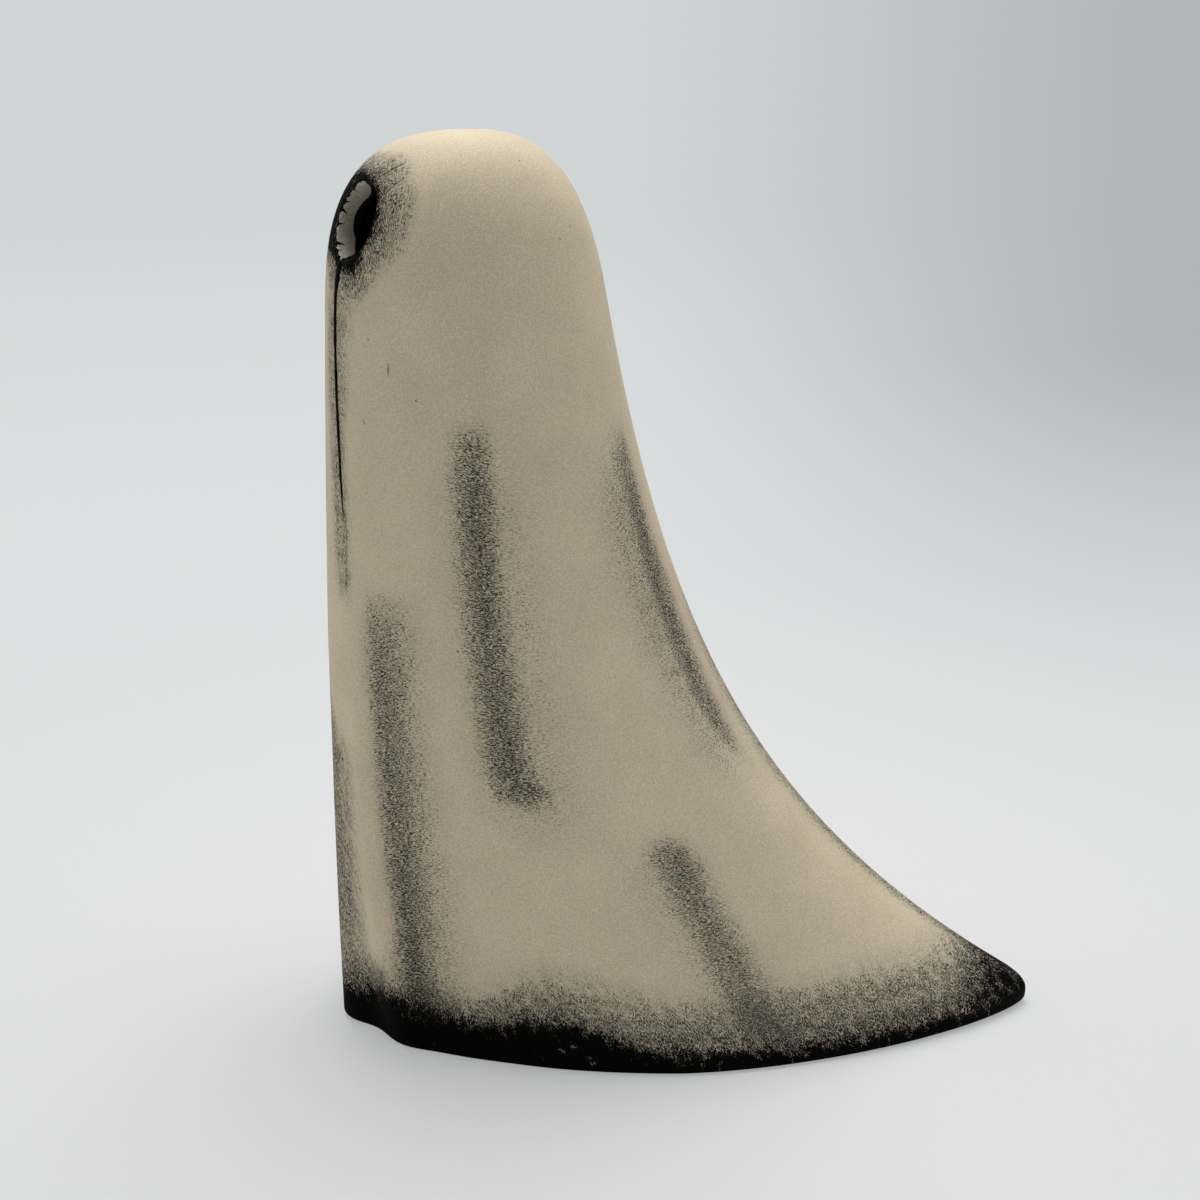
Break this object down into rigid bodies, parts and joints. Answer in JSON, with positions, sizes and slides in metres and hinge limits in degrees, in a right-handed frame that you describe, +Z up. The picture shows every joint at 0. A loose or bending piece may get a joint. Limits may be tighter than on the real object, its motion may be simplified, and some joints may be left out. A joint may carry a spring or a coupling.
{
  "type": "ghost figurine",
  "caption": "Sheet ghost figurine with a trailing train: hollow bone-coloured body, dark egg-shaped eye holes and a flat felted base.",
  "frame": {"origin": "on the surface the figure stands on, under the middle of its bounding box", "axes": "+Z up through the head, the ghost looks along -Y and its train runs out along +Y, +X is the ghost's left"},
  "size_m": [0.0418, 0.0872, 0.1093],
  "materials": {
    "bone_shell": "sprayed matte bone colour with a fine grain, black paint dry-brushed round the eyes, down the folds and along the hem",
    "eye_black": "black gloss paint",
    "base_board": "plain matte grey",
    "felt": "black felt"
  },
  "bodies": {
    "root": {"body_shell": "bone_shell", "eye_cup_left": "eye_black", "eye_cup_right": "eye_black", "base_plate": "base_board", "felt_pad": "felt"}
  },
  "joints": []
}
